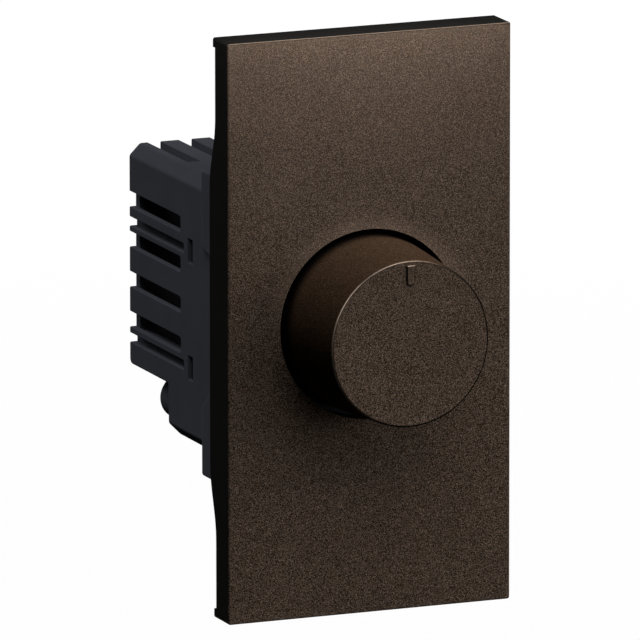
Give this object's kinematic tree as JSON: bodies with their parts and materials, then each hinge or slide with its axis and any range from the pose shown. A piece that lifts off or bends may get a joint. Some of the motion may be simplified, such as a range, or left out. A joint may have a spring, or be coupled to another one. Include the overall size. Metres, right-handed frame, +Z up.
{
  "type": "fan speed controller",
  "caption": "Wall-mounted rotary fan speed controller: tall flat cover with a slightly conical knob, on a vented mechanism case that snaps into a support frame.",
  "frame": {"origin": "on the knob's axis, in the plane where the flange's back seats on the support frame", "axes": "+Z up along the cover, +X to the right seen from the front, +Y back into the wall"},
  "size_m": [0.045, 0.0575, 0.0872],
  "materials": {
    "bronze_lacquer": "moulded plastic with fine metallic bronze lacquer",
    "bronze_lacquer_knob": "moulded plastic with fine metallic bronze lacquer",
    "grey_plastic": "moulded dark grey plastic",
    "anthracite_plastic": "moulded anthracite plastic, finely eroded",
    "brass": "turned brass",
    "nickel_steel": "nickel-plated steel",
    "zinc_steel": "zinc-plated steel",
    "phenolic": "paper laminate",
    "tinned_brass": "tinned brass",
    "board_laminate": "green solder resist on laminate",
    "iron_powder": "coated pressed iron powder",
    "enamelled_copper": "enamelled copper wire",
    "capacitor_box": "moulded box",
    "film_dip": "dipped coating",
    "varistor_coating": "epoxy coating",
    "aluminium_sheet": "rolled sheet",
    "moulding_compound": "moulding compound",
    "resistor_coating": "lacquer coating",
    "diac_glass": "sealed glass body",
    "fuse_coating": "ceramic coating",
    "spring_steel": "spring steel",
    "shaft_aluminium": "turned aluminium",
    "contact_bronze": "rolled contact bronze"
  },
  "bodies": {
    "mechanism": {"front_cover": "bronze_lacquer", "chassis": "grey_plastic", "rear_case": "anthracite_plastic", "pot_bushing": "brass", "pot_nut": "nickel_steel", "pot_washer": "nickel_steel", "pot_housing": "zinc_steel", "track_wafer": "phenolic", "pot_pins": "tinned_brass", "circuit_board": "board_laminate", "choke_core": "iron_powder", "choke_winding": "enamelled_copper", "suppression_capacitor": "capacitor_box", "timing_capacitor": "film_dip", "varistor": "varistor_coating", "heat_sink": "aluminium_sheet", "triac": "moulding_compound", "heat_sink_screw": "zinc_steel", "resistors": "resistor_coating", "diac": "diac_glass", "fuse": "fuse_coating", "terminal_cages": "tinned_brass", "terminal_screws": "nickel_steel", "clamp_plates": "zinc_steel"},
    "knob": {"knob": "bronze_lacquer_knob", "knob_clip": "spring_steel", "control_shaft": "shaft_aluminium", "wiper": "contact_bronze"}
  },
  "joints": [
    {"name": "knob_turn", "type": "hinge", "parent": "mechanism", "child": "knob", "pos_m": [0, -0.01095, 0], "axis": [0, 1, 0], "range_deg": [-135, 135]}
  ]
}
